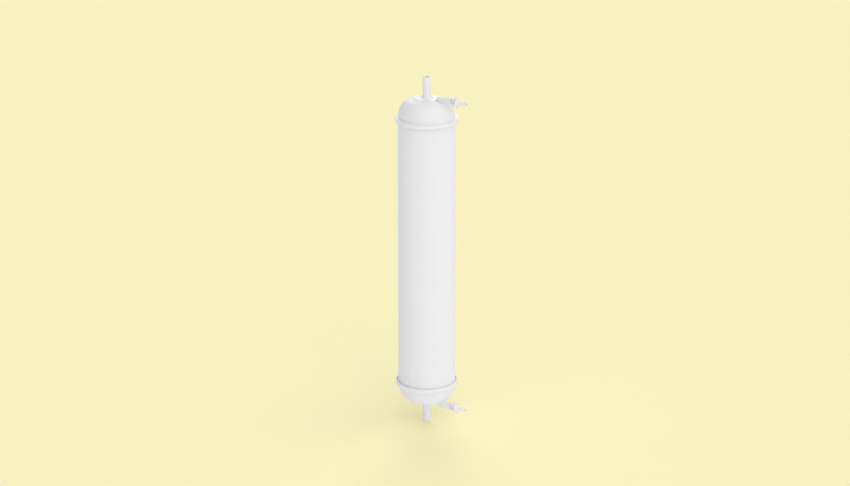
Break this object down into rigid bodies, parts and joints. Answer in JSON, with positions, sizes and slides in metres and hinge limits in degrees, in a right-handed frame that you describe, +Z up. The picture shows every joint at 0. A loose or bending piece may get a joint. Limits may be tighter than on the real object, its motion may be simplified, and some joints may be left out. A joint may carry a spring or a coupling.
{
  "type": "capsule filter",
  "caption": "Long welded plastic capsule filter with domed end caps, a hose barb on the axis at each end, winged vent and drain valves, and a pleated cartridge inside.",
  "frame": {"origin": "centre of the lower nozzle's tip, on the capsule's axis", "axes": "+Z up the capsule's axis from the outlet nozzle to the inlet nozzle, +X along both valves, away from the axis"},
  "size_m": [0.1355, 0.11, 0.636],
  "materials": {
    "body_plastic": "natural white polypropylene, smooth extruded surface",
    "cap_plastic": "white moulded polypropylene, fine satin",
    "valve_plastic": "white moulded polypropylene, fine satin",
    "seal_rubber": "black EPDM, smooth",
    "cartridge_plastic": "white moulded polypropylene",
    "support_fleece": "white spunbonded fleece",
    "filter_medium": "white melt-blown medium"
  },
  "bodies": {
    "housing": {"body_tube": "body_plastic", "upper_end_cap": "cap_plastic", "lower_end_cap": "cap_plastic", "cartridge_open_cap": "cartridge_plastic", "cartridge_joint_ring": "cartridge_plastic", "cartridge_closed_cap": "cartridge_plastic", "lower_outer_cage": "cartridge_plastic", "lower_core": "cartridge_plastic", "lower_outer_fleece": "support_fleece", "lower_filter_medium": "filter_medium", "lower_inner_fleece": "support_fleece", "upper_outer_cage": "cartridge_plastic", "upper_core": "cartridge_plastic", "upper_outer_fleece": "support_fleece", "upper_filter_medium": "filter_medium", "upper_inner_fleece": "support_fleece"},
    "vent_seals": {"vent_valve_seat_ring": "seal_rubber", "vent_valve_stem_ring": "seal_rubber"},
    "vent_knob": {"vent_valve_knob": "valve_plastic"},
    "drain_seals": {"drain_valve_seat_ring": "seal_rubber", "drain_valve_stem_ring": "seal_rubber"},
    "drain_knob": {"drain_valve_knob": "valve_plastic"}
  },
  "joints": [
    {"name": "vent_valve_travel", "type": "slide", "parent": "housing", "child": "vent_seals", "axis": [1, 0, 0], "range_m": [0, 0.0031]},
    {"name": "vent_valve_turn", "type": "hinge", "parent": "vent_seals", "child": "vent_knob", "pos_m": [0.0604, 0, 0.5995], "axis": [1, 0, 0], "range_deg": [0, 50]},
    {"name": "drain_valve_travel", "type": "slide", "parent": "housing", "child": "drain_seals", "axis": [1, 0, 0], "range_m": [0, 0.0031]},
    {"name": "drain_valve_turn", "type": "hinge", "parent": "drain_seals", "child": "drain_knob", "pos_m": [0.0604, 0, 0.0365], "axis": [1, 0, 0], "range_deg": [0, 50]}
  ],
  "couplings": [
    {"joint": "vent_valve_turn", "follows": "vent_valve_travel", "rad_per_m": 281.5},
    {"joint": "drain_valve_turn", "follows": "drain_valve_travel", "rad_per_m": 281.5}
  ]
}
